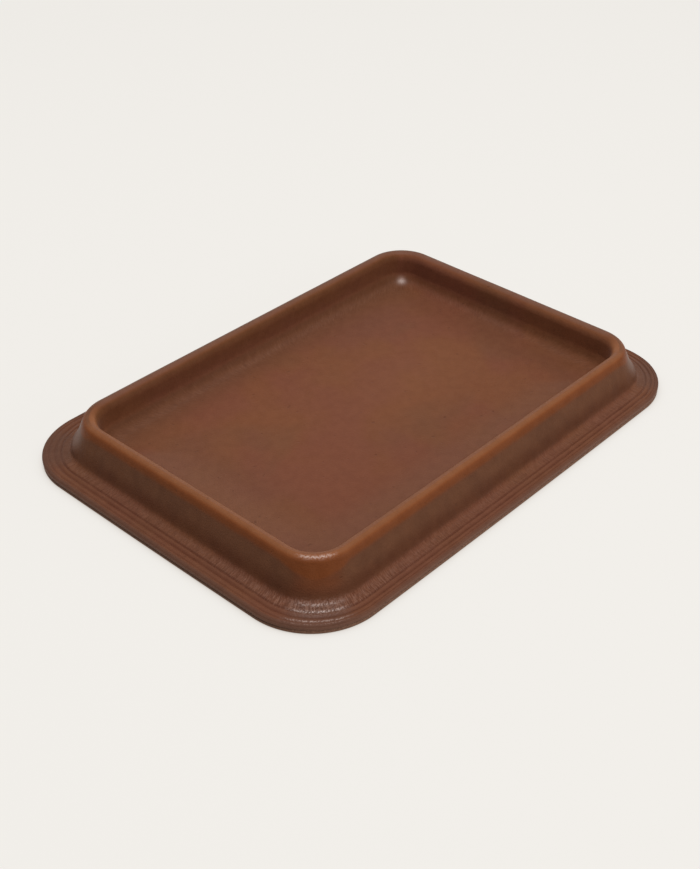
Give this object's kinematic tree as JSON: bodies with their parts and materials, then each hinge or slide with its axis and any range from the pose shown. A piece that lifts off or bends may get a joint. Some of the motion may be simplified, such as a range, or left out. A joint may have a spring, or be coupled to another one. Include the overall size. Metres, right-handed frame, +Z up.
{
  "type": "decorative tray",
  "caption": "Rectangular leather tray with rounded corners: a flat flange with tooled lines, a raised rounded rim over a wooden core and a sunken floor.",
  "frame": {"origin": "centre of the footprint, on the surface that the tray stands on", "axes": "+X along the long sides, +Y across them towards the back, +Z up out of the tray"},
  "size_m": [0.4, 0.292, 0.0332],
  "materials": {
    "top_hide": "red-brown vegetable-tanned hide, waxed satin, burnished edge",
    "base_hide": "dark brown hide, matt, flesh side down",
    "rim_wood": "raw planed hardwood, hidden",
    "dowel_wood": "raw turned hardwood, hidden",
    "grey_board": "raw pressed fibreboard, hidden"
  },
  "bodies": {
    "root": {"base_leather": "base_hide", "top_leather": "top_hide", "floor_board": "grey_board", "rim_rail_front": "rim_wood", "rim_rail_back": "rim_wood", "rim_rail_left": "rim_wood", "rim_rail_right": "rim_wood", "rim_corner_front_left": "rim_wood", "rim_corner_front_right": "rim_wood", "rim_corner_back_left": "rim_wood", "rim_corner_back_right": "rim_wood", "dowel_front_rail_left": "dowel_wood", "dowel_front_rail_right": "dowel_wood", "dowel_back_rail_left": "dowel_wood", "dowel_back_rail_right": "dowel_wood", "dowel_left_rail_front": "dowel_wood", "dowel_left_rail_back": "dowel_wood", "dowel_right_rail_front": "dowel_wood", "dowel_right_rail_back": "dowel_wood"}
  },
  "joints": []
}
